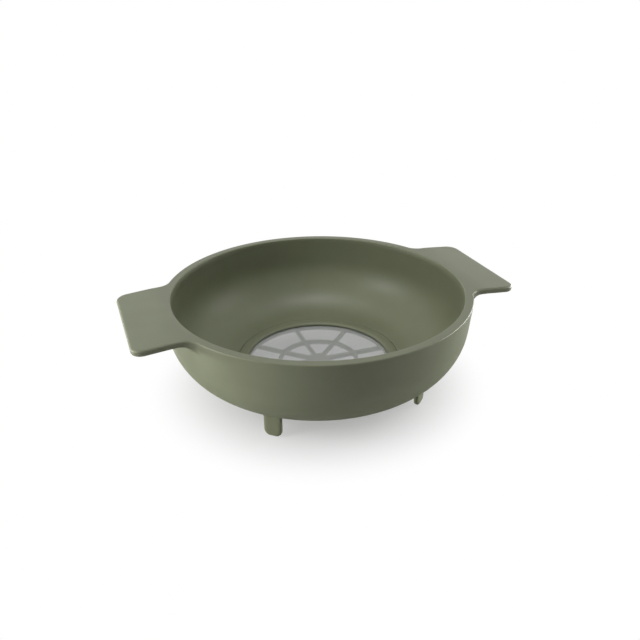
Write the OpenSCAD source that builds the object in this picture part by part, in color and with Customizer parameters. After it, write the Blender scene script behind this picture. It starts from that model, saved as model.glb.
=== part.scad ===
// Footed sieve: a moulded bowl with two flat handles, four feet and a woven wire floor.
// Millimetres, +Z up, handles along X. The origin lies on the table, midway between the feet.

/* [Bowl] */
// Outer diameter at the rim
rim_d = 220; // [200:1:260]
// Height of the rim above the table
bowl_h = 74; // [66:1:96]
// Thickness of the wall and of the floor
wall = 6; // [5.2:0.2:8]
// Outer radius of the round corner between wall and floor
corner_r = 44; // [36:1:50]
// Lean of the wall from the vertical, in degrees
wall_lean = 5.5; // [2:0.5:10]
// Radius on the edges of the rim
rim_edge_r = 0.8; // [0.5:0.1:2]

/* [Handles] */
// Length over both handles
handle_span = 274; // [256:1:320]
// Width of a handle
handle_w = 90; // [60:1:110]
// Thickness of a handle
handle_t = 4.5; // [3.6:0.1:6]
// Slope of a handle's outer part down from the rim, in degrees
handle_droop = 5; // [1:0.5:8]
// Radius of a handle's outer corners, seen from above
handle_corner_r = 8; // [4:0.5:14]
// Radius of the hollow where a handle's side runs into the rim
handle_root_r = 8; // [4:0.5:12]
// Radius along a handle's edges
handle_edge_r = 1.5; // [0.6:0.1:1.7]
// Radius of the hollow under a handle, against the wall
handle_under_r = 6; // [3:0.5:10]

/* [Feet] */
// Room between the table and the underside of the floor
foot_h = 13.5; // [10:0.5:20]
// Diameter of the circle that the feet's outer faces touch
foot_circle_d = 164; // [150:1:172]
// Angle of each foot from the line through the handles, in degrees
foot_angle = 47.5; // [38:0.5:55]
// Width of a foot
foot_w = 13; // [9:0.5:18]
// Thickness of a foot, towards the middle
foot_t = 3.6; // [2.6:0.2:6]
// Radius of a foot's lower corners
foot_corner_r = 3.5; // [2:0.1:4]
// Radius along a foot's edges
foot_edge_r = 0.8; // [0.4:0.1:1.4]
// Radius of the hollow where a foot's side runs into the bowl
foot_root_r = 3; // [1.5:0.5:5]

/* [Floor opening] */
// Diameter of the opening that the mesh spans
opening_d = 104; // [80:1:110]
// Width of the seat round the opening
seat_w = 8; // [6.5:0.5:10]
// Number of spokes under the mesh
spoke_count = 8; // [4:1:12]
// Width of a spoke, and of the rings that tie the spokes
spoke_w = 2.4; // [1.6:0.2:4]
// Diameter of the hub where the spokes meet
hub_d = 16; // [12:1:24]
// Outer diameter of the ring that ties the spokes halfway
tie_ring_d = 60; // [40:1:76]

/* [Mesh] */
// Diameter of the mesh wires
wire_d = 0.4; // [0.3:0.05:0.6]
// Spacing of the wires, centre to centre
wire_pitch = 1.5; // [1.2:0.1:4]
// Play between crossing wires, and between wires and binding
wire_play = 0.05; // [0.03:0.01:0.1]
// Thickness of the strip that binds the mesh
strip_t = 0.4; // [0.3:0.05:0.6]
// Width of the folded binding
binding_w = 5; // [3.5:0.5:6]

/* [Retaining ring] */
// Thickness of the retaining ring
ring_t = 2; // [1.6:0.1:2.4]
// Slope cut off the ring's inner edge, so that it drains
ring_bevel = 1.2; // [0.5:0.1:1.4]
// Height of the snap bead round the ring
bead_h = 0.8; // [0.5:0.1:1]
// How far the bead stands out from the ring
bead_out = 0.6; // [0.4:0.1:0.9]

/* [Fits] */
// Clearance round the binding, the ring and the bead
fit_gap = 0.3; // [0.15:0.05:0.5]

/* [Hidden] */
$fn = 96;

plastic_green = "#8f957d";
steel_grey = "#b9bcbe";
overlap = 1; // how far shapes that are joined or cut run past each other
hair = 0.02; // how far a round stands proud of the lines it blends
arc_steps = 6; // steps in the small rounds of the rim

rim_r = rim_d / 2;
floor_z = foot_h + wall; // upper face of the floor

// The wall leans, and the round corner touches both the wall and the floor.
corner_z = foot_h + corner_r;
lean_point_z = corner_z - corner_r * sin(wall_lean);
corner_mid_r = rim_r - (bowl_h - lean_point_z) * tan(wall_lean) - corner_r * cos(wall_lean);
mouth_r = rim_r - wall / cos(wall_lean);

opening_r = opening_d / 2;
pocket_r = opening_r + seat_w;
binding_r = pocket_r - fit_gap;
channel_h = 2 * wire_d + 3 * wire_play;
binding_h = channel_h + 2 * strip_t;
seat_z = floor_z - ring_t - binding_h;
mesh_z = seat_z + binding_h / 2; // level where warp and weft meet
wire_shift = (wire_d + wire_play) / 2;
wire_end_r = binding_r - strip_t - fit_gap;
spoke_top_z = mesh_z - wire_d - 1.5 * wire_play;
bead_z = floor_z - ring_t / 2;

// Point at an angle on a circle about a centre.
function on_circle(centre, r, angle) = centre + r * [cos(angle), sin(angle)];

// A length to the nearest thousandth of a millimetre, so that faces that meet share one plane.
function to_micron(x) = round(1000 * x) / 1000;

// Height of the bowl's underside at a distance from the middle.
function underside_z(r) =
    r < corner_mid_r ? foot_h : corner_z - sqrt(pow(corner_r, 2) - pow(r - corner_mid_r, 2));

// A slice of a disc between two angles less than a half turn apart.
module slice(centre, r, from, to) {
    span = to - from;
    far = 2 * r / cos(span / 4);
    intersection() {
        translate(centre) circle(r);
        polygon([centre, on_circle(centre, far, from), on_circle(centre, far, (from + to) / 2),
            on_circle(centre, far, to)]);
    }
}

// Points along an arc, from one angle to another.
function arc(centre, r, from, to) =
    [for (i = [0 : arc_steps]) on_circle(centre, r, from + (to - from) * i / arc_steps)];

// The round corner between wall and floor, for a corner of radius r.
// It stands proud by a hair, so that it crosses the straight lines it runs into.
module corner_section(r) {
    side = r / 8;
    intersection() {
        translate([corner_mid_r, corner_z]) circle(r + hair);
        translate([corner_mid_r - side, corner_z - r - side]) square(r + 2 * side);
        translate([0, corner_z - r - side]) square([rim_d, r + side]);
    }
}

// Half section of the bowl as if it were solid.
module bowl_section() {
    corner = [corner_mid_r, corner_z];
    edge = [rim_r - rim_edge_r * (1 + sin(wall_lean)) / cos(wall_lean), bowl_h - rim_edge_r];
    polygon(concat([[0, foot_h], [corner_mid_r, foot_h], corner, on_circle(corner, corner_r, -wall_lean)],
        arc(edge, rim_edge_r, -wall_lean, 90), [[0, bowl_h]]));
    corner_section(corner_r);
}

// Half section of the space inside the bowl, open upwards.
module space_section() {
    inner_r = corner_r - wall;
    corner = [corner_mid_r, corner_z];
    edge = [mouth_r + rim_edge_r * (1 - sin(wall_lean)) / cos(wall_lean), bowl_h - rim_edge_r];
    above = 2 * bowl_h;
    polygon(concat([[0, floor_z], [corner_mid_r, floor_z], corner, on_circle(corner, inner_r, -wall_lean)],
        arc(edge, rim_edge_r, 180 - wall_lean, 90), [[edge.x, above], [0, above]]));
    corner_section(inner_r);
}

// Section of a plate's edge: from x = 0 out to x = reach, with a round on both corners.
module edge_section(reach, t, edge_r) {
    inner = reach - edge_r;
    polygon([[0, 0], [inner, 0], [inner, edge_r], [reach, edge_r], [reach, t - edge_r],
        [inner, t - edge_r], [inner, t], [0, t]]);
    slice([inner, edge_r], edge_r, -90, 0);
    slice([inner, t - edge_r], edge_r, 0, 90);
}

// A flat tab from x = start out to x = reach, with round outer corners and round edges.
// From x = root_x inwards a hollow of radius root_r, swept through root_turn, widens each side.
module tab(start, reach, w, t, tip_r, edge_r, root_x, root_r, root_turn) {
    half_w = w / 2 - tip_r;
    straight = reach - tip_r;
    translate([start, -half_w, 0]) cube([straight - start, 2 * half_w, t]);
    translate([straight, half_w, 0]) rotate([90, 0, 0]) linear_extrude(2 * half_w)
        edge_section(tip_r, t, edge_r);
    for (side = [0, 1]) mirror([0, side, 0]) {
        translate([straight, half_w, 0]) rotate_extrude(angle = 90) edge_section(tip_r, t, edge_r);
        translate([root_x, half_w, 0]) rotate([90, 0, 90]) linear_extrude(straight - root_x)
            edge_section(tip_r, t, edge_r);
        translate([start, 0, 0]) cube([root_x - start, w / 2 - 2 * edge_r, t]);
        translate([root_x, w / 2 + root_r, 0]) mirror([1, 0, 0]) rotate(270) rotate_extrude(angle = root_turn)
            translate([root_r + tip_r, 0]) mirror([1, 0]) edge_section(tip_r, t, edge_r);
    }
}

// One handle. Its top is level with the rim out to the rim's radius and slopes down from there.
module handle() {
    root_y = handle_w / 2 + handle_root_r;
    start_x = sqrt(pow(mouth_r, 2) - pow(root_y, 2));
    root_x = sqrt(pow(rim_r - overlap / 2 + handle_root_r, 2) - pow(root_y, 2));
    run = handle_span / 2 - rim_r - handle_edge_r * (1 - sin(handle_droop));
    reach = rim_r + handle_edge_r + run / cos(handle_droop);
    intersection() {
        translate([rim_r, 0, bowl_h]) rotate([0, handle_droop, 0]) translate([-rim_r, 0, -handle_t])
            tab(to_micron(start_x), to_micron(reach), handle_w, handle_t, handle_corner_r, handle_edge_r,
                to_micron(root_x), handle_root_r, 90 - atan2(root_y, root_x));
        translate([0, -handle_w, 0]) cube([handle_span, 2 * handle_w, bowl_h - hair]);
    }
}

// The hollow that fills the angle between a handle's underside and the wall.
module handle_under_fillet() {
    wall_r = rim_r - handle_t * tan(wall_lean);
    mid = [wall_r + handle_under_r, bowl_h - handle_t - handle_under_r];
    half_angle = asin((handle_w / 2 - 1.5 * handle_edge_r) / (wall_r + handle_under_r));
    rotate(-half_angle) rotate_extrude(angle = 2 * half_angle) difference() {
        translate([wall_r - wall / 2, mid.y])
            square([handle_under_r + wall / 2, handle_under_r + handle_t / 2]);
        translate(mid) circle(handle_under_r + overlap / 4);
    }
}

// One foot at the +X side: a tab that hangs down, with its outer face away from the middle.
module foot() {
    outer_r = foot_circle_d / 2;
    root_z = underside_z(outer_r) + overlap / 4;
    translate([outer_r, 0, corner_z]) rotate([0, 90, 0]) translate([0, 0, -foot_t])
        tab(0, corner_z, foot_w, foot_t, foot_corner_r, foot_edge_r,
            to_micron(corner_z - root_z + foot_root_r), foot_root_r, 90);
}

// The pocket, the opening and the snap groove that the mesh and its ring need in the floor.
module floor_cut() {
    translate([0, 0, foot_h - overlap]) cylinder(h = wall + 2 * overlap, r = opening_r);
    translate([0, 0, seat_z]) cylinder(h = corner_r, r = pocket_r);
    translate([0, 0, bead_z - bead_h / 2 - fit_gap / 2])
        cylinder(h = bead_h + fit_gap, r = pocket_r + bead_out);
}

// Spokes, hub and tie ring that carry the mesh from below.
module spokes() {
    spoke_t = spoke_top_z - foot_h;
    translate([0, 0, foot_h]) {
        cylinder(h = spoke_t, d = hub_d);
        difference() {
            cylinder(h = spoke_t, d = tie_ring_d);
            translate([0, 0, -overlap])
                cylinder(h = spoke_t + 2 * overlap, d = tie_ring_d - 2 * spoke_w);
        }
        for (i = [0 : spoke_count - 1]) rotate(i * 360 / spoke_count)
            translate([0, -spoke_w / 2, 0]) cube([opening_r + overlap, spoke_w, spoke_t]);
    }
}

module bowl() {
    color(plastic_green) {
        difference() {
            union() {
                rotate_extrude() bowl_section();
                for (side = [0, 1]) mirror([side, 0, 0]) {
                    handle();
                    handle_under_fillet();
                }
                for (side = [0, 1], end = [0, 1])
                    mirror([side, 0, 0]) mirror([0, end, 0]) rotate(foot_angle) foot();
            }
            rotate_extrude() space_section();
            floor_cut();
        }
        spokes();
    }
}

// Straight wires along X, side by side across the disc, at a height.
module wire_layer(z) {
    count = floor((wire_end_r - wire_d) / wire_pitch);
    for (i = [-count : count - 1]) {
        y = (i + 0.5) * wire_pitch;
        half = sqrt(pow(wire_end_r, 2) - pow(y, 2));
        translate([-half, y, z]) rotate([0, 90, 0]) cylinder(h = 2 * half, d = wire_d);
    }
}

module mesh_warp_wires() {
    color(steel_grey) wire_layer(mesh_z + wire_shift);
}

module mesh_weft_wires() {
    color(steel_grey) rotate(90) wire_layer(mesh_z - wire_shift);
}

module mesh_binding() {
    inner_r = binding_r - binding_w;
    color(steel_grey) translate([0, 0, seat_z]) rotate_extrude() difference() {
        translate([inner_r, 0]) square([binding_w, binding_h]);
        translate([inner_r - overlap, strip_t]) square([binding_w + overlap - strip_t, channel_h]);
    }
}

module retaining_ring() {
    outer_r = pocket_r - fit_gap;
    color(plastic_green) translate([0, 0, floor_z - ring_t]) rotate_extrude()
        polygon([[opening_r, 0], [outer_r, 0], [outer_r, ring_t / 2 - bead_h / 2],
            [outer_r + bead_out, ring_t / 2], [outer_r, ring_t / 2 + bead_h / 2], [outer_r, ring_t],
            [opening_r + ring_bevel, ring_t], [opening_r, ring_t - ring_bevel]]);
}

bowl();
mesh_warp_wires();
mesh_weft_wires();
mesh_binding();
retaining_ring();
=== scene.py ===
import math

import bmesh
import bpy
import numpy as np
from mathutils import Matrix, Vector


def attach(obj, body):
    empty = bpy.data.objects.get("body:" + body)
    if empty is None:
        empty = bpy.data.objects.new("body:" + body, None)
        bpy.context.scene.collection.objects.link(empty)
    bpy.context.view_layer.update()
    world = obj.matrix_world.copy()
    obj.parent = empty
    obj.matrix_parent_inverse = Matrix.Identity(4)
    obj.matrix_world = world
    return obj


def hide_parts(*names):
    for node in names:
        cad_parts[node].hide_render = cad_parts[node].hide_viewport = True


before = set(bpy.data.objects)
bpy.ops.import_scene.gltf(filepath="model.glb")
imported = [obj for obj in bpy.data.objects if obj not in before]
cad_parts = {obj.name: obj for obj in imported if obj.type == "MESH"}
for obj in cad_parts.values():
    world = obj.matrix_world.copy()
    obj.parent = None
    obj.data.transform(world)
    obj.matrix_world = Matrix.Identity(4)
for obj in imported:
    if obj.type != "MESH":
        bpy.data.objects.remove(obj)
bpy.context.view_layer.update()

# BOWL
# One injection moulding in sage green polypropylene: round wall with a flat rim, two flat handles
# that run out of the rim through hollows, four short feet, and a floor with a stepped opening and
# spokes below it. Sizes are in millimetres and become metres when a mesh is made.
mm = 0.001
rim_z, wall_top_r = 74.0, 110.0
lean_angle = math.radians(5.5)
lean = math.tan(lean_angle)
mouth_r, rim_flat_r, rim_edge_r = 103.97, 106.0, 0.8
corner_mid_r, corner_z = 64.208, 57.5
outer_corner_r, inner_corner_r = 44.0, 38.0
underside_z, seat_z, spoke_top_z, floor_z = 13.5, 15.75, 16.15, 19.5
opening_r, seat_mid_r, pocket_r, floor_mid_r = 52.0, 56.0, 60.0, 62.0
pocket_edge, pocket_edge_mid = 0.4, 0.12
groove_r, groove_low_z, groove_top_z = 60.6, 17.95, 19.05

handle_reach, handle_half_w, handle_t = 137.0, 45.0, 4.5
handle_corner_r, handle_root_r, handle_edge_r, handle_under_r = 8.0, 11.0, 1.4, 6.0
handle_slope, handle_bend_x, handle_bend_run = math.tan(math.radians(5.0)), 110.0, 12.0

foot_angle, foot_mid_r, foot_half_w, foot_half_t = 47.5, 80.2, 6.5, 1.8
foot_corner_r, foot_edge_r, foot_root_r, foot_face_root_r = 4.8, 1.4, 3.0, 1.5
foot_angles = (foot_angle, 180 - foot_angle, 180 + foot_angle, 360 - foot_angle)

spoke_count, spoke_half_w, hub_r, tie_outer_r, tie_inner_r = 8, 1.2, 8.0, 30.0, 27.6


def wall_r(z):
    """The outer radius of the wall, which leans outwards up to the rim."""
    return wall_top_r + (z - rim_z) * lean


# Seen from above, a handle's outline is an end line, a round corner, a side line and the hollow
# that runs into the rim. The rim's own edge carries on from there.
rim_out_r = wall_r(rim_z - rim_edge_r * (1 + math.sin(lean_angle)))
hollow_y = handle_half_w + handle_root_r
hollow_x = math.sqrt((rim_out_r + handle_root_r) ** 2 - hollow_y ** 2)
end_angle = math.degrees(math.atan2(handle_half_w - handle_corner_r, handle_reach))
corner_angle = math.degrees(math.atan2(handle_half_w, handle_reach - handle_corner_r))
side_angle = math.degrees(math.atan2(handle_half_w, hollow_x))
root_angle = math.degrees(math.atan2(hollow_y, hollow_x))

# A foot is drawn over a patch of the wall. The shares of its half width take in the edges of the
# spoke nearby, and those of its half thickness the foot's rounded edges.
spoke_angle = math.degrees(math.asin(spoke_half_w / opening_r))
foot_span = math.degrees((foot_half_w + foot_root_r) / foot_mid_r)
from_spoke = foot_angle - 360 / spoke_count
near_spoke = (from_spoke + spoke_angle * np.array([-1, 0, 1])) / foot_span
foot_half = np.concatenate([[0], near_spoke, [1 - foot_edge_r / foot_half_w, 1]])
foot_across = np.concatenate([-foot_half[:0:-1], foot_half])
foot_face = 1 - foot_edge_r / foot_half_t
foot_through = np.array([-1, -foot_face, 0, foot_face, 1])

# The wall is drawn as columns round the axis, close together where an outline turns. A stretch of
# the quarter turn is given by the angle where it ends and its number of steps.
quarter = [0.0]
for end, steps in ((spoke_angle, 1), (end_angle, 8), (corner_angle, 14), (side_angle, 13),
                   (root_angle, 14), (foot_angle - foot_span, 6)):
    quarter.extend(np.linspace(quarter[-1], end, steps + 1)[1:])
quarter.extend(foot_angle + foot_span * foot_across[1:])
for end, steps in ((90 - spoke_angle, 17), (90.0, 1)):
    quarter.extend(np.linspace(quarter[-1], end, steps + 1)[1:])
quarter = np.array(quarter)
turns = np.concatenate([quarter, 180 - quarter, 180 + quarter, 360 - quarter]) % 360
columns = np.unique(np.round(turns, 6))
folded = np.where(columns % 180 > 90, 180 - columns % 180, columns % 180)
cos_f, sin_f = np.cos(np.radians(folded)), np.sin(np.radians(folded))
on_handle = folded < root_angle


def inset(r):
    """How far inside the outline a point on each column lies, square to the outline."""
    x, y = r * cos_f, r * sin_f
    corner_x, corner_y = handle_reach - handle_corner_r, handle_half_w - handle_corner_r
    corner = handle_corner_r - np.hypot(x - corner_x, y - corner_y)
    hollow = np.hypot(x - hollow_x, y - hollow_y) - handle_root_r
    side = np.where(x < hollow_x, hollow, handle_half_w - y)
    plain = np.minimum(handle_reach - x, side)
    on_tab = np.where((x > corner_x) & (y > corner_y), corner, plain)
    return np.where(on_handle, on_tab, rim_out_r - r)


halvings, well_inside_r, well_outside_r = 44, 80.0, 160.0


def settle(low, high, too_low):
    """On each column, the value between low and high up to which too_low holds."""
    low, high = np.full(len(columns), low), np.full(len(columns), high)
    for _ in range(halvings):
        middle = (low + high) / 2
        below = too_low(middle)
        low, high = np.where(below, middle, low), np.where(below, high, middle)
    return (low + high) / 2


def radius_at(depth):
    """The radius on each column that lies this deep inside the outline."""
    return settle(well_inside_r, well_outside_r, lambda r: inset(r) > depth)


def top_z(r):
    """The rim's flat top runs into the handle, which bends down gently where the rim ends."""
    past = r * cos_f - (handle_bend_x - handle_bend_run / 2)
    bent = np.clip(past, 0, handle_bend_run)
    straight = np.maximum(past - handle_bend_run, 0)
    drop = handle_slope * (bent ** 2 / (2 * handle_bend_run) + straight)
    return np.where(on_handle, rim_z - drop, rim_z)


def under_z(r):
    return top_z(r) - handle_t


def outer_arc_turn(r):
    """How far round the outer corner of the wall this radius lies."""
    return math.asin((r - corner_mid_r) / outer_corner_r)


rows = []


def add_row(r, z):
    rows.append((np.broadcast_to(r, columns.shape), np.broadcast_to(z, columns.shape)))


def shares(steps):
    """From 0 to 1 in even steps."""
    return np.linspace(0, 1, steps + 1)


# Underside of the floor, then the round corner, with rows where the feet join it.
below_foot_steps, above_foot_steps = 3, 17
add_row(opening_r, underside_z)
add_row((opening_r + corner_mid_r) / 2, underside_z)
foot_patch_half_t = foot_half_t + foot_face_root_r
foot_turns = [outer_arc_turn(foot_mid_r + foot_patch_half_t * share) for share in foot_through]
corner_end_turn = math.pi / 2 - lean_angle
corner_turns = np.concatenate([
    foot_turns[0] * shares(below_foot_steps)[:-1],
    foot_turns,
    np.linspace(foot_turns[-1], corner_end_turn, above_foot_steps + 1)[1:]])
first_foot_row = len(rows) + below_foot_steps
for turn in corner_turns:
    add_row(corner_mid_r + outer_corner_r * math.sin(turn),
            corner_z - outer_corner_r * math.cos(turn))
corner_top_z = corner_z - outer_corner_r * math.sin(lean_angle)

# Up the wall, round the hollow under the handle and out along its underside. Where the handle's
# side turns into the rim it cuts the hollow off, so the side reaches further down there.
wall_steps, hollow_steps, underside_steps, low_edge_steps = 6, 7, 5, 6
edge_r = radius_at(0.0)
blend = np.clip((root_angle - folded) / (root_angle - side_angle), 0, 1)
edge_round = rim_edge_r + (handle_edge_r - rim_edge_r) * blend
edge_z = top_z(edge_r) - edge_round * (1 + math.sin(lean_angle))
stand_out = np.maximum(edge_r - wall_r(edge_z), 0)
full_edge_run = edge_r - radius_at(handle_edge_r)


def edge_run(turn):
    """How far the rounded lower edge lies inside the handle's side where it has turned so far."""
    return edge_r - radius_at(handle_edge_r * (1 - np.cos(turn)))


def edge_turn_for(turn):
    """Where the lower edge slopes as the hollow does at this turn."""
    return np.arctan2(handle_edge_r * np.sin(turn), full_edge_run * np.cos(turn))


def short_of_edge(turn):
    """Whether the hollow, turned so far, still lies inside the handle's lower edge."""
    hollow_out = handle_under_r * (1 - np.cos(turn))
    return hollow_out < stand_out - edge_run(edge_turn_for(turn))


hollow_turn = settle(0.0, math.pi / 2, short_of_edge)
edge_turn = edge_turn_for(hollow_turn)
hollow_low_z = under_z(wall_r(rim_z - handle_t) + handle_under_r) - handle_under_r
for share in shares(wall_steps)[1:-1]:
    z = corner_top_z + (hollow_low_z - corner_top_z) * share
    add_row(wall_r(z), z)
for share in shares(hollow_steps):
    z = hollow_low_z + handle_under_r * np.sin(hollow_turn * share)
    add_row(wall_r(z) + handle_under_r * (1 - np.cos(hollow_turn * share)), z)
hollow_end, hollow_end_z = rows[-1]
plate_end = wall_r(hollow_end_z) + stand_out - edge_run(edge_turn)
for share in shares(underside_steps)[1:-1]:
    r = hollow_end + (plate_end - hollow_end) * share
    add_row(r, hollow_end_z + under_z(r) - under_z(hollow_end))
for share in shares(low_edge_steps)[::-1]:
    out = stand_out - edge_run(edge_turn * share)
    rise = handle_edge_r * (np.sin(edge_turn) - np.sin(edge_turn * share))
    z = hollow_end_z + rise + under_z(wall_r(hollow_end_z) + out) - under_z(hollow_end)
    add_row(wall_r(z) + out, z)
side_mid_z = (rows[-1][1] + edge_z) / 2
add_row(wall_r(side_mid_z) + stand_out, side_mid_z)

# Round the upper edge, in over the handle to the flat of the rim and down into the bowl.
upper_edge_steps, top_steps, mouth_edge_steps = 8, 14, 7
inside_steps, inner_corner_steps = 6, 21
for turn in np.linspace(-lean_angle, math.pi / 2, upper_edge_steps + 1):
    r = radius_at(edge_round * (math.cos(lean_angle) - math.cos(turn)))
    add_row(r, top_z(r) - edge_round * (1 - math.sin(turn)))
flat_start = radius_at(edge_round * math.cos(lean_angle))
for share in shares(top_steps)[1:]:
    r = flat_start + (rim_flat_r - flat_start) * share
    add_row(r, top_z(r))
mouth_edge_r = mouth_r + rim_edge_r * (1 - math.sin(lean_angle)) / math.cos(lean_angle)
for turn in np.linspace(math.pi / 2, math.pi - lean_angle, mouth_edge_steps + 1):
    add_row(mouth_edge_r + rim_edge_r * math.cos(turn), rim_z - rim_edge_r * (1 - math.sin(turn)))
inside_top_z = rim_z - rim_edge_r * (1 - math.sin(lean_angle))
inside_low_z = corner_z - inner_corner_r * math.sin(lean_angle)
for z in np.linspace(inside_top_z, inside_low_z, inside_steps + 1)[1:-1]:
    add_row(mouth_r - (rim_z - z) * lean, z)
for turn in np.linspace(corner_end_turn, 0, inner_corner_steps + 1):
    add_row(corner_mid_r + inner_corner_r * math.sin(turn),
            corner_z - inner_corner_r * math.cos(turn))

# The floor, the pocket that holds the mesh and its ring, with the groove for the ring's bead, the
# seat and the wall of the opening.
for r, z in ((floor_mid_r, floor_z), (pocket_r + pocket_edge, floor_z),
             (pocket_r + pocket_edge_mid, floor_z - pocket_edge_mid),
             (pocket_r, floor_z - pocket_edge), (pocket_r, groove_top_z), (groove_r, groove_top_z),
             (groove_r, groove_low_z), (pocket_r, groove_low_z), (pocket_r, seat_z),
             (seat_mid_r, seat_z), (opening_r, seat_z)):
    add_row(r, z)

grid_r = np.array([row[0] for row in rows]).T
grid_z = np.array([row[1] for row in rows]).T
around = np.radians(columns)[:, None]
points = np.stack([grid_r * np.cos(around), grid_r * np.sin(around), grid_z], axis=-1) * mm

bowl_mesh = bmesh.new()
grid = [[bowl_mesh.verts.new(point) for point in column] for column in points]
column_count, row_count = len(columns), len(rows)


def column_at(degrees):
    return int(np.argmin(np.abs((columns - degrees + 180) % 360 - 180)))


# The patches where the spokes and the feet join the wall stay open.
left_open = set()
for k in range(spoke_count):
    middle = column_at(360 * k / spoke_count)
    left_open |= {((middle - 1) % column_count, row_count - 1), (middle, row_count - 1)}
for middle in foot_angles:
    first = column_at(middle - foot_span)
    left_open |= {(first + i, first_foot_row + j) for i in range(len(foot_across) - 1)
                  for j in range(len(foot_through) - 1)}
for i in range(column_count):
    here, beside = grid[i], grid[(i + 1) % column_count]
    for j in range(row_count):
        if (i, j) not in left_open:
            after = (j + 1) % row_count
            bowl_mesh.faces.new((here[j], beside[j], beside[after], here[after]))

# A foot grows out of the round corner: rings of points go down its sides and turn in at the end.
foot_rim = ([(i, 0) for i in range(len(foot_across))]
            + [(len(foot_across) - 1, j) for j in range(1, len(foot_through))]
            + [(i, len(foot_through) - 1) for i in range(len(foot_across) - 2, -1, -1)]
            + [(0, j) for j in range(len(foot_through) - 2, 0, -1)])


def foot_ring(half_w, half_t, edge, bend, height):
    """One ring of points round a foot. It follows the bowl's round at bend 1 and is flat at 0."""
    ring = []
    for i, j in foot_rim:
        across, through = foot_across[i] * half_w, foot_through[j] * half_t
        mid_a = math.copysign(max(half_w - edge, 0), across)
        mid_t = math.copysign(max(half_t - edge, 0), through)
        off_a, off_t = (across - mid_a) * np.sign(across), (through - mid_t) * np.sign(through)
        if off_a > 0 and off_t > 0:
            scale = edge / math.hypot(off_a, off_t)
            across = mid_a + (across - mid_a) * scale
            through = mid_t + (through - mid_t) * scale
        r, turn = foot_mid_r + through, across / foot_mid_r
        outward = bend * r * math.cos(turn) + (1 - bend) * r
        sideways = bend * r * math.sin(turn) + (1 - bend) * across
        ring.append((outward, sideways, height(math.hypot(outward, sideways))))
    return ring


foot_root_turns, foot_end_turns = (16, 32, 48, 64, 80, 90), (0, 14, 28, 42, 56, 68, 78, 90)
foot_side_levels, end_edge_loss = (10.0, 6.5), 0.6
foot_rings = []
for turn in np.radians(foot_root_turns):
    spread, drop = 1 - math.sin(turn), foot_root_r * (1 - math.cos(turn))
    foot_rings.append(foot_ring(
        foot_half_w + foot_root_r * spread, foot_half_t + foot_face_root_r * spread,
        foot_edge_r * (1 - spread), spread,
        lambda r, d=drop: corner_z - outer_corner_r * math.cos(outer_arc_turn(r)) - d))
for level in foot_side_levels:
    foot_rings.append(foot_ring(foot_half_w, foot_half_t, foot_edge_r, 0, lambda r, z=level: z))
for turn in np.radians(foot_end_turns):
    level = foot_corner_r * (1 - math.sin(turn))
    tuck = max(foot_edge_r - level, 0)
    thin = foot_edge_r - math.sqrt(foot_edge_r ** 2 - tuck ** 2)
    foot_rings.append(foot_ring(
        foot_half_w - foot_corner_r * (1 - math.cos(turn)), foot_half_t - thin,
        foot_edge_r - end_edge_loss * thin, 0, lambda r, z=level: z))
for middle in foot_angles:
    first = column_at(middle - foot_span)
    cos_m, sin_m = math.cos(math.radians(middle)), math.sin(math.radians(middle))
    above = [grid[first + i][first_foot_row + j] for i, j in foot_rim]
    for ring in foot_rings:
        below = []
        for outward, sideways, z in ring:
            below.append(bowl_mesh.verts.new(((outward * cos_m - sideways * sin_m) * mm,
                                              (outward * sin_m + sideways * cos_m) * mm, z * mm)))
        for k in range(len(above)):
            n = (k + 1) % len(above)
            bowl_mesh.faces.new((above[k], above[n], below[n], below[k]))
        above = below
    bowl_mesh.faces.new(above)

# Spokes, tie ring and hub are one flat grid under the mesh. It stands a little higher than the
# seat, up to the wires.
spider = bmesh.new()
spoke_steps, arc_steps = 2, 6


def spider_vert(r, turn):
    return spider.verts.new((r * math.cos(turn) * mm, r * math.sin(turn) * mm, spoke_top_z * mm))


def spider_circle(r):
    """Points round a circle: three across each spoke, and steps on the arc to the next one."""
    half = math.asin(spoke_half_w / r)
    turn_share = 2 * math.pi / spoke_count
    circle = []
    for k in range(spoke_count):
        arc = np.linspace(k * turn_share + half, (k + 1) * turn_share - half, arc_steps + 1)
        circle += [k * turn_share - half, k * turn_share, *arc[:-1]]
    return [spider_vert(r, turn) for turn in circle]


ends_circle, tie_outside, tie_inside, hub_circle = (
    spider_circle(r) for r in (opening_r, tie_outer_r, tie_inner_r, hub_r))
hub_middle = spider_vert(0.0, 0.0)
spoke_ends = []
for n in range(len(hub_circle)):
    m = (n + 1) % len(hub_circle)
    across_spoke = n % (spoke_steps + arc_steps) < spoke_steps
    for outer, inner, all_round in ((ends_circle, tie_outside, False),
                                    (tie_outside, tie_inside, True),
                                    (tie_inside, hub_circle, False)):
        if all_round or across_spoke:
            spider.faces.new((inner[n], outer[n], outer[m], inner[m]))
    spider.faces.new((hub_middle, hub_circle[n], hub_circle[m]))
    if across_spoke:
        spoke_ends.append(frozenset((ends_circle[n], ends_circle[m])))
for vert in [v for v in spider.verts if not v.link_faces]:
    spider.verts.remove(vert)
edges = [e for e in spider.edges if e.is_boundary and frozenset(e.verts) not in spoke_ends]
ends = [e for e in spider.edges if frozenset(e.verts) in spoke_ends]
upper = list(spider.verts)
level_with_seat = {v: spider.verts.new((v.co.x, v.co.y, seat_z * mm)) for v in upper}
lower = {v: spider.verts.new((v.co.x, v.co.y, underside_z * mm)) for v in upper}
for face in list(spider.faces):
    spider.faces.new([lower[v] for v in reversed(face.verts)])
for edge in edges + ends:
    a, b = edge.verts
    spider.faces.new((a, b, level_with_seat[b], level_with_seat[a]))
    if edge in edges:
        spider.faces.new((level_with_seat[a], level_with_seat[b], lower[b], lower[a]))
for vert in [v for v in spider.verts if not v.link_faces]:
    spider.verts.remove(vert)
copies = {v: bowl_mesh.verts.new(v.co) for v in spider.verts}
for face in spider.faces:
    bowl_mesh.faces.new([copies[v] for v in face.verts])
spider.free()


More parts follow.
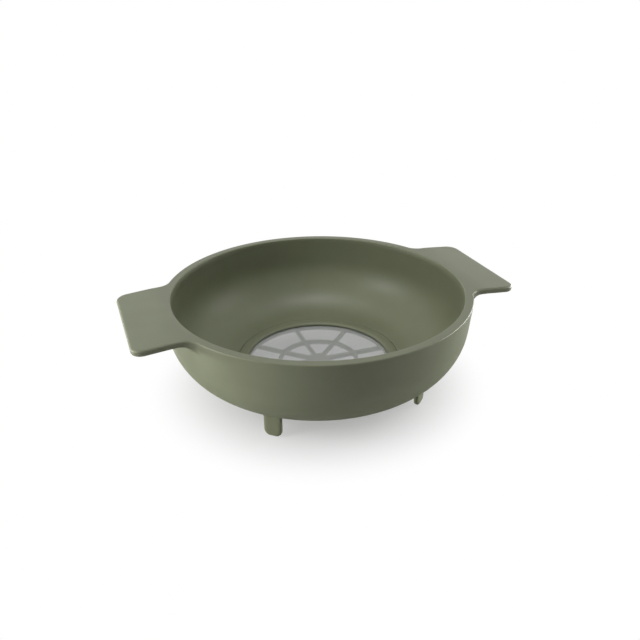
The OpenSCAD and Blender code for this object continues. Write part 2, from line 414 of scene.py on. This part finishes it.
def finish_mesh(name, shape, sharp_degrees, merge_within=4e-6, no_length=1e-7):
    """A closed, outward facing, smooth shaded mesh object at the origin."""
    bmesh.ops.remove_doubles(shape, verts=shape.verts, dist=merge_within)
    bmesh.ops.dissolve_degenerate(shape, edges=shape.edges, dist=no_length)
    bmesh.ops.recalc_face_normals(shape, faces=shape.faces)
    mesh = bpy.data.meshes.new(name)
    shape.to_mesh(mesh)
    shape.free()
    mesh.shade_smooth()
    mesh.set_sharp_from_angle(angle=math.radians(sharp_degrees))
    piece = bpy.data.objects.new(name, mesh)
    bpy.context.scene.collection.objects.link(piece)
    return piece


bowl = finish_mesh("moulded_bowl", bowl_mesh, sharp_degrees=40)


def linear(hex_colour):
    """An sRGB hex colour as linear light."""
    parts = [int(hex_colour[k:k + 2], 16) / 255 for k in (1, 3, 5)]
    return [c / 12.92 if c <= 0.04045 else ((c + 0.055) / 1.055) ** 2.4 for c in parts] + [1.0]


def add_node(tree, kind, inputs=(), **settings):
    """Adds a node: settings are its properties, and inputs gives sockets a value or a link."""
    made = tree.nodes.new(kind)
    for key, value in settings.items():
        setattr(made, key, value)
    for key, value in dict(inputs).items():
        if isinstance(value, bpy.types.NodeSocket):
            tree.links.new(value, made.inputs[key])
        else:
            made.inputs[key].default_value = value
    return made


# Polypropylene out of a spark eroded mould: an even satin skin that scatters light widely, with a
# fine grit and faint clouding of the pigment. The real grit is about 0.15 mm and would not show,
# so it is drawn at 0.5 mm.
grit_mm, grit_depth_mm, cloud_mm = 0.5, 0.06, 30.0
plastic = bpy.data.materials.new("satin_moulded_polypropylene")
plastic.use_nodes = True
tree = plastic.node_tree
tree.nodes.clear()
place = add_node(tree, "ShaderNodeTexCoord").outputs["Object"]
clouds = add_node(tree, "ShaderNodeTexNoise", {
    "Vector": place, "Scale": 1 / (cloud_mm * mm), "Detail": 3.0}).outputs["Fac"]
grit = add_node(tree, "ShaderNodeTexNoise", {
    "Vector": place, "Scale": 1 / (grit_mm * mm), "Detail": 2.0}).outputs["Fac"]
tint = add_node(tree, "ShaderNodeValToRGB", {"Fac": clouds})
for stop, position, colour in zip(tint.color_ramp.elements, (0.3, 0.7), ("#868b70", "#8c9176")):
    stop.position, stop.color = position, linear(colour)
satin = add_node(tree, "ShaderNodeMapRange", {"Value": grit, "To Min": 0.38, "To Max": 0.48})
skin = add_node(tree, "ShaderNodeBump", {
    "Height": grit, "Strength": 0.12, "Distance": grit_depth_mm * mm})
shader = add_node(tree, "ShaderNodeBsdfPrincipled", {
    "Base Color": tint.outputs["Color"], "Roughness": satin.outputs["Result"],
    "Normal": skin.outputs["Normal"], "IOR": 1.49})
add_node(tree, "ShaderNodeOutputMaterial", {"Surface": shader.outputs["BSDF"]})

bowl.data.materials.append(plastic)
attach(bowl, "root")
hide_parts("bowl")

# MESH BINDING
# A strip of stainless steel, folded over the cut ends of the wires all round the mesh disc and
# pressed flat. It lies on the seat of the bowl, and the retaining ring covers it.
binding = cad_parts["mesh_binding"]

# Bright stainless steel as it comes from drawing and rolling: a clear but soft shine with faint
# changes of tone along the metal.
streak_mm = 1.5
steel = bpy.data.materials.new("bright_drawn_stainless_steel")
steel.use_nodes = True
tree = steel.node_tree
tree.nodes.clear()
place = add_node(tree, "ShaderNodeTexCoord").outputs["Object"]
drawn = add_node(tree, "ShaderNodeTexNoise", {
    "Vector": place, "Scale": 1 / (streak_mm * mm), "Detail": 2.0}).outputs["Fac"]
tint = add_node(tree, "ShaderNodeValToRGB", {"Fac": drawn})
for stop, position, colour in zip(tint.color_ramp.elements, (0.25, 0.75), ("#b4b6b6", "#c9cac8")):
    stop.position, stop.color = position, linear(colour)
polish = add_node(tree, "ShaderNodeMapRange", {"Value": drawn, "To Min": 0.24, "To Max": 0.36})
shader = add_node(tree, "ShaderNodeBsdfPrincipled", {
    "Base Color": tint.outputs["Color"], "Roughness": polish.outputs["Result"], "Metallic": 1.0})
add_node(tree, "ShaderNodeOutputMaterial", {"Surface": shader.outputs["BSDF"]})
binding.data.materials.clear()
binding.data.materials.append(steel)

# WIRE MESH
# A disc of plain woven stainless wire, 0.4 mm thick and 1.5 mm apart. Each wire is crimped over and
# under the wires that cross it, so the two directions hold each other. A wire is drawn with four
# steps to each gap, which meet its crests and troughs.
wire_d, wire_pitch, wire_end_r, mesh_z, wire_shift = 0.4, 1.5, 59.0, 16.625, 0.225
wire_count, wire_points, wire_sides, steps_per_gap = 78, 317, 5, 4
weave = bpy.data.node_groups.new("woven_wire_layer", "GeometryNodeTree")
for label, kind in (("Wire diameter", "NodeSocketFloat"), ("Pitch", "NodeSocketFloat"),
                    ("Mesh radius", "NodeSocketFloat"), ("Height", "NodeSocketFloat"),
                    ("Crimp", "NodeSocketFloat"), ("Turn", "NodeSocketFloat"),
                    ("Wires", "NodeSocketInt"), ("Points", "NodeSocketInt"),
                    ("Steel", "NodeSocketMaterial")):
    weave.interface.new_socket(label, in_out="INPUT", socket_type=kind)
weave.interface.new_socket("Mesh", in_out="OUTPUT", socket_type="NodeSocketGeometry")
sizes = add_node(weave, "NodeGroupInput").outputs

# One straight wire, then a copy of it at each place across the disc, cut to the disc's round.
steps = add_node(weave, "ShaderNodeMath", {
    0: sizes["Points"], 1: -1.0}, operation="ADD").outputs[0]
run = add_node(weave, "ShaderNodeMath", {
    0: steps, 1: sizes["Pitch"]}, operation="MULTIPLY").outputs[0]
west_x = add_node(weave, "ShaderNodeMath", {
    0: run, 1: -0.5 / steps_per_gap}, operation="MULTIPLY").outputs[0]
east_x = add_node(weave, "ShaderNodeMath", {
    0: run, 1: 0.5 / steps_per_gap}, operation="MULTIPLY").outputs[0]
west = add_node(weave, "ShaderNodeCombineXYZ", {"X": west_x}).outputs[0]
east = add_node(weave, "ShaderNodeCombineXYZ", {"X": east_x}).outputs[0]
line = add_node(weave, "GeometryNodeCurvePrimitiveLine", {
    "Start": west, "End": east}).outputs["Curve"]
line = add_node(weave, "GeometryNodeResampleCurve", {
    "Curve": line, "Count": sizes["Points"]}).outputs["Curve"]
gaps = add_node(weave, "ShaderNodeMath", {
    0: sizes["Wires"], 1: -1.0}, operation="ADD").outputs[0]
across = add_node(weave, "ShaderNodeMath", {
    0: gaps, 1: sizes["Pitch"]}, operation="MULTIPLY").outputs[0]
first_y = add_node(weave, "ShaderNodeMath", {0: across, 1: -0.5}, operation="MULTIPLY").outputs[0]
first_wire = add_node(weave, "ShaderNodeCombineXYZ", {"Y": first_y}).outputs[0]
step_y = add_node(weave, "ShaderNodeCombineXYZ", {"Y": sizes["Pitch"]}).outputs[0]
places = add_node(weave, "GeometryNodeMeshLine", {
    "Count": sizes["Wires"], "Start Location": first_wire, "Offset": step_y},
    mode="OFFSET").outputs["Mesh"]
wires = add_node(weave, "GeometryNodeInstanceOnPoints", {
    "Points": places, "Instance": line}).outputs["Instances"]
wires = add_node(weave, "GeometryNodeRealizeInstances", {"Geometry": wires}).outputs["Geometry"]
spot = add_node(weave, "GeometryNodeInputPosition").outputs[0]
reach = add_node(weave, "ShaderNodeVectorMath", {0: spot}, operation="LENGTH").outputs["Value"]
outside = add_node(weave, "ShaderNodeMath", {
    0: reach, 1: sizes["Mesh radius"]}, operation="GREATER_THAN").outputs[0]
wires = add_node(weave, "GeometryNodeDeleteGeometry", {
    "Geometry": wires, "Selection": outside}).outputs["Geometry"]

# The crimp: the height follows a wave along the wire that is turned over from wire to wire.
phase = add_node(weave, "ShaderNodeMath", {
    0: math.pi, 1: sizes["Pitch"]}, operation="DIVIDE").outputs[0]
waves = add_node(weave, "ShaderNodeVectorMath", {
    0: spot, "Scale": phase}, operation="SCALE").outputs["Vector"]
waves = add_node(weave, "ShaderNodeVectorMath", {0: waves}, operation="SINE").outputs["Vector"]
waves = add_node(weave, "ShaderNodeSeparateXYZ", {0: waves}).outputs
crossing = add_node(weave, "ShaderNodeMath", {
    0: waves["X"], 1: waves["Y"]}, operation="MULTIPLY").outputs[0]
rise = add_node(weave, "ShaderNodeMath", {
    0: crossing, 1: sizes["Crimp"], 2: sizes["Height"]}, operation="MULTIPLY_ADD").outputs[0]
lift = add_node(weave, "ShaderNodeCombineXYZ", {"Z": rise}).outputs[0]
wires = add_node(weave, "GeometryNodeSetPosition", {
    "Geometry": wires, "Offset": lift}).outputs["Geometry"]

# The round section, and the turn that makes a layer of warp or of weft.
wire_r = add_node(weave, "ShaderNodeMath", {
    0: sizes["Wire diameter"], 1: 0.5}, operation="MULTIPLY").outputs[0]
section = add_node(weave, "GeometryNodeCurvePrimitiveCircle", {
    "Resolution": wire_sides, "Radius": wire_r}).outputs["Curve"]
tubes = add_node(weave, "GeometryNodeCurveToMesh", {
    "Curve": wires, "Profile Curve": section, "Fill Caps": True}).outputs["Mesh"]
spin = add_node(weave, "ShaderNodeCombineXYZ", {"Z": sizes["Turn"]}).outputs[0]
tubes = add_node(weave, "GeometryNodeTransform", {
    "Geometry": tubes, "Rotation": spin}).outputs["Geometry"]
tubes = add_node(weave, "GeometryNodeSetShadeSmooth", {"Geometry": tubes}).outputs["Geometry"]
tubes = add_node(weave, "GeometryNodeRealizeInstances", {"Geometry": tubes}).outputs["Geometry"]
tubes = add_node(weave, "GeometryNodeSetMaterial", {
    "Geometry": tubes, "Material": sizes["Steel"]}).outputs["Geometry"]
add_node(weave, "NodeGroupOutput", {"Mesh": tubes})


def grow(name, tree, values):
    """The plain mesh that a node tree makes from these values."""
    maker = bpy.data.objects.new(name + "_maker", bpy.data.meshes.new(name + "_maker"))
    bpy.context.scene.collection.objects.link(maker)
    modifier = maker.modifiers.new("nodes", "NODES")
    modifier.node_group = tree
    for item in tree.interface.items_tree:
        if item.in_out == "INPUT":
            modifier[item.identifier] = values[item.name]
    made = maker.evaluated_get(bpy.context.evaluated_depsgraph_get())
    mesh = bpy.data.meshes.new_from_object(made)
    mesh.name = name
    bpy.data.objects.remove(maker)
    piece = bpy.data.objects.new(name, mesh)
    bpy.context.scene.collection.objects.link(piece)
    return piece


for name, node, crimp, turn in (("warp_wires", "mesh_warp_wires", wire_shift, 0.0),
                                ("weft_wires", "mesh_weft_wires", -wire_shift, math.pi / 2)):
    layer = grow(name, weave, {
        "Wire diameter": wire_d * mm, "Pitch": wire_pitch * mm, "Mesh radius": wire_end_r * mm,
        "Height": mesh_z * mm, "Crimp": crimp * mm, "Turn": turn,
        "Wires": wire_count, "Points": wire_points, "Steel": steel})
    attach(layer, "root")
    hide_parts(node)

# RETAINING RING
# A flat ring of the same green polypropylene. It presses on the bound edge of the mesh, snaps into
# a groove of the pocket with the bead round its outside, and slopes down to the mesh to drain.
ring_low_z, ring_t, ring_columns = 17.5, 2.0, 192
ring_inner_r, ring_outer_r, bead_r = 52.0, 59.7, 60.3

# The section, as radius and height above the binding: underside, outside with bead, top, slope.
ring_section = [(ring_inner_r, 0.0), (59.5, 0.0), (ring_outer_r, 0.2), (ring_outer_r, 0.6),
                (bead_r, 1.0), (ring_outer_r, 1.4), (ring_outer_r, 1.8), (59.64, 1.94),
                (59.5, ring_t), (53.5, ring_t), (53.3, 1.96), (53.1, 1.86),
                (52.2, 0.96), (52.06, 0.8), (ring_inner_r, 0.6)]
ring_mesh = bmesh.new()
ring_grid = []
for k in range(ring_columns):
    turn = 2 * math.pi * k / ring_columns
    ring_grid.append([ring_mesh.verts.new((r * math.cos(turn) * mm, r * math.sin(turn) * mm,
                                           (ring_low_z + up) * mm)) for r, up in ring_section])
for k in range(ring_columns):
    here, beside = ring_grid[k], ring_grid[(k + 1) % ring_columns]
    for j in range(len(ring_section)):
        after = (j + 1) % len(ring_section)
        ring_mesh.faces.new((here[j], beside[j], beside[after], here[after]))
ring = finish_mesh("snap_in_ring", ring_mesh, sharp_degrees=35)
ring.data.materials.append(plastic)
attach(ring, "root")
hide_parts("retaining_ring")

# STUDIO
# A wide pale floor that runs out to white, low strip lamps at both sides, softboxes at the upper
# left, the upper right and above, and a camera at the viewing angle of the photograph.
bpy.context.scene.view_settings.view_transform = "Standard"
pure_white = linear("#ffffff")
floor_mesh = bmesh.new()
bmesh.ops.create_circle(floor_mesh, cap_ends=True, segments=96, radius=30.0)
floor_data = bpy.data.meshes.new("studio_floor")
floor_mesh.to_mesh(floor_data)
floor_mesh.free()
floor = bpy.data.objects.new("studio_floor", floor_data)
bpy.context.scene.collection.objects.link(floor)

# Close to the object the paper shows its real shadow, and its white glow to the camera fades out
# towards the object, which paints a soft shade round it. Away from it the paper is white to the
# camera, and further out to shiny surfaces too.
paper = bpy.data.materials.new("white_paper_backdrop")
paper.use_nodes = True
tree = paper.node_tree
tree.nodes.clear()
place = add_node(tree, "ShaderNodeTexCoord").outputs["Object"]
away = add_node(tree, "ShaderNodeVectorMath", {0: place}, operation="LENGTH").outputs["Value"]
seen = add_node(tree, "ShaderNodeLightPath").outputs
camera_glow = add_node(tree, "ShaderNodeMapRange", {
    "Value": away, "From Min": 0.05, "From Max": 0.13, "To Min": 0.32},
    interpolation_type="SMOOTHSTEP").outputs["Result"]
camera_glow = add_node(tree, "ShaderNodeMath", {
    0: camera_glow, 1: seen["Is Camera Ray"]}, operation="MULTIPLY").outputs[0]
mirrored = add_node(tree, "ShaderNodeMath", {
    0: seen["Is Glossy Ray"], 1: seen["Is Transmission Ray"]}, operation="MAXIMUM").outputs[0]
distant = add_node(tree, "ShaderNodeMapRange", {
    "Value": away, "From Min": 0.16, "From Max": 0.6},
    interpolation_type="SMOOTHSTEP").outputs["Result"]
distant = add_node(tree, "ShaderNodeMath", {
    0: distant, 1: mirrored}, operation="MULTIPLY").outputs[0]
amount = add_node(tree, "ShaderNodeMath", {0: camera_glow, 1: distant}, operation="MAXIMUM").outputs[0]
sheet = add_node(tree, "ShaderNodeBsdfDiffuse", {"Color": linear("#f2f2f2")}).outputs["BSDF"]
glow = add_node(tree, "ShaderNodeEmission", {
    "Color": pure_white, "Strength": 1.0}).outputs["Emission"]
mixed = add_node(tree, "ShaderNodeMixShader", {0: amount, 1: sheet, 2: glow}).outputs["Shader"]
add_node(tree, "ShaderNodeOutputMaterial", {"Surface": mixed})
floor_data.materials.append(paper)

# The world is white to the camera and in reflections, and adds almost no light of its own.
world = bpy.data.worlds.new("studio")
bpy.context.scene.world = world
world.use_nodes = True
tree = world.node_tree
tree.nodes.clear()
seen = add_node(tree, "ShaderNodeLightPath").outputs
direct = add_node(tree, "ShaderNodeMath", {
    0: seen["Is Camera Ray"], 1: seen["Is Glossy Ray"]}, operation="MAXIMUM").outputs[0]
direct = add_node(tree, "ShaderNodeMath", {
    0: direct, 1: seen["Is Transmission Ray"]}, operation="MAXIMUM").outputs[0]
room_light = add_node(tree, "ShaderNodeBackground", {
    "Color": pure_white, "Strength": 0.01}).outputs[0]
backdrop = add_node(tree, "ShaderNodeBackground", {
    "Color": pure_white, "Strength": 1.0}).outputs[0]
mixed = add_node(tree, "ShaderNodeMixShader", {
    0: direct, 1: room_light, 2: backdrop}).outputs["Shader"]
add_node(tree, "ShaderNodeOutputWorld", {"Surface": mixed})

lamp_aim = Vector((0, 0, 0.04))
for name, spot, width, height, watts in (
        ("left_strip_softbox", (-1.12, 0.42, 0.055), 1.0, 0.10, 12.0),
        ("right_strip_softbox", (1.19, 0.10, 0.055), 1.0, 0.10, 12.5),
        ("left_key_softbox", (-1.04, -0.02, 0.62), 0.4, 0.4, 3.9),
        ("right_fill_softbox", (1.02, -0.16, 0.62), 0.4, 0.4, 1.3),
        ("top_softbox", (0.0, 0.02, 1.2), 0.4, 0.4, 3.7)):
    lamp = bpy.data.lights.new(name, "AREA")
    lamp.shape, lamp.size, lamp.size_y, lamp.energy = "RECTANGLE", width, height, watts
    holder = bpy.data.objects.new(name, lamp)
    holder.location = spot
    holder.rotation_euler = (lamp_aim - Vector(spot)).to_track_quat("-Z", "Y").to_euler()
    bpy.context.scene.collection.objects.link(holder)

# The camera's place, angles and focal length were fitted to the rim, the handles and the feet.
camera_place = (-0.15866, -0.43029, 0.27807)
azimuth, elevation, roll = math.radians(-20.42), math.radians(26.60), math.radians(-0.48)
focal_px, frame_px, sensor_mm = 699.77, 640, 36.0
back = Vector((math.sin(azimuth) * math.cos(elevation),
               -math.cos(azimuth) * math.cos(elevation), math.sin(elevation)))
level = Vector((math.cos(azimuth), math.sin(azimuth), 0))
upright = back.cross(level)
side = level * math.cos(roll) + upright * math.sin(roll)
upright = upright * math.cos(roll) - level * math.sin(roll)
view = bpy.data.cameras.new("photo_view")
view.sensor_width, view.lens = sensor_mm, focal_px * sensor_mm / frame_px
view.clip_start, view.clip_end = 0.01, 100.0
camera = bpy.data.objects.new("photo_view", view)
camera.matrix_world = (Matrix.Translation(camera_place)
                       @ Matrix((side, upright, back)).transposed().to_4x4())
bpy.context.scene.collection.objects.link(camera)
bpy.context.scene.camera = camera
